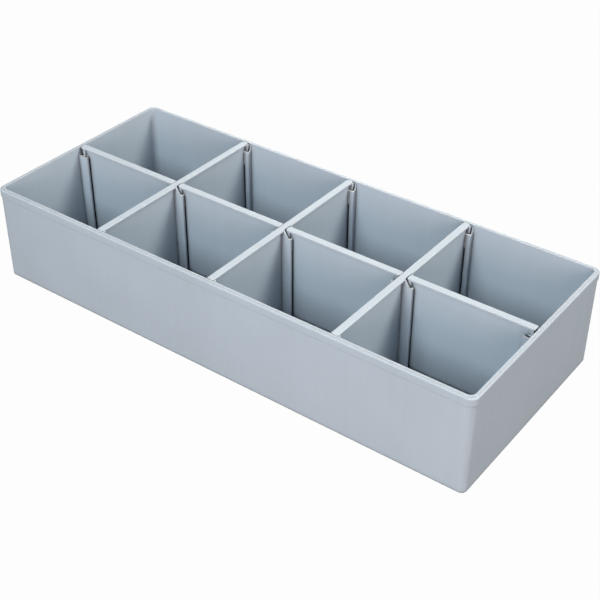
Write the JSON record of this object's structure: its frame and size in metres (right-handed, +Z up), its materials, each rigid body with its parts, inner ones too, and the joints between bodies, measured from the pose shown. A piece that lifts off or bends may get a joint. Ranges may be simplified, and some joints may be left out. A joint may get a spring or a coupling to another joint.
{
  "type": "drawer organizer insert",
  "caption": "Open rectangular plastic tray split into compartments by cross and lengthwise divider panels that lift out of moulded channel rails.",
  "frame": {"origin": "centre of the underside of the tray", "axes": "+X along the long side of the tray, +Y along the short side, +Z up out of the open top"},
  "size_m": [0.4, 0.169, 0.075],
  "materials": {
    "tray_plastic": "satin",
    "divider_plastic": "satin"
  },
  "bodies": {
    "tray": {"tray": "tray_plastic"},
    "cross_divider_1": {"cross_divider_1": "divider_plastic"},
    "cross_divider_2": {"cross_divider_2": "divider_plastic"},
    "cross_divider_3": {"cross_divider_3": "divider_plastic"},
    "lengthwise_divider_1": {"lengthwise_divider_1": "divider_plastic"},
    "lengthwise_divider_2": {"lengthwise_divider_2": "divider_plastic"},
    "lengthwise_divider_3": {"lengthwise_divider_3": "divider_plastic"},
    "lengthwise_divider_4": {"lengthwise_divider_4": "divider_plastic"}
  },
  "joints": [
    {"name": "cross_divider_1_lift", "type": "slide", "parent": "tray", "child": "cross_divider_1", "axis": [0, 0, 1], "range_m": [0, 0.08]},
    {"name": "cross_divider_2_lift", "type": "slide", "parent": "tray", "child": "cross_divider_2", "axis": [0, 0, 1], "range_m": [0, 0.08]},
    {"name": "cross_divider_3_lift", "type": "slide", "parent": "tray", "child": "cross_divider_3", "axis": [0, 0, 1], "range_m": [0, 0.08]},
    {"name": "lengthwise_divider_1_lift", "type": "slide", "parent": "tray", "child": "lengthwise_divider_1", "axis": [0, 0, 1], "range_m": [0, 0.08]},
    {"name": "lengthwise_divider_2_lift", "type": "slide", "parent": "tray", "child": "lengthwise_divider_2", "axis": [0, 0, 1], "range_m": [0, 0.08]},
    {"name": "lengthwise_divider_3_lift", "type": "slide", "parent": "tray", "child": "lengthwise_divider_3", "axis": [0, 0, 1], "range_m": [0, 0.08]},
    {"name": "lengthwise_divider_4_lift", "type": "slide", "parent": "tray", "child": "lengthwise_divider_4", "axis": [0, 0, 1], "range_m": [0, 0.08]}
  ]
}
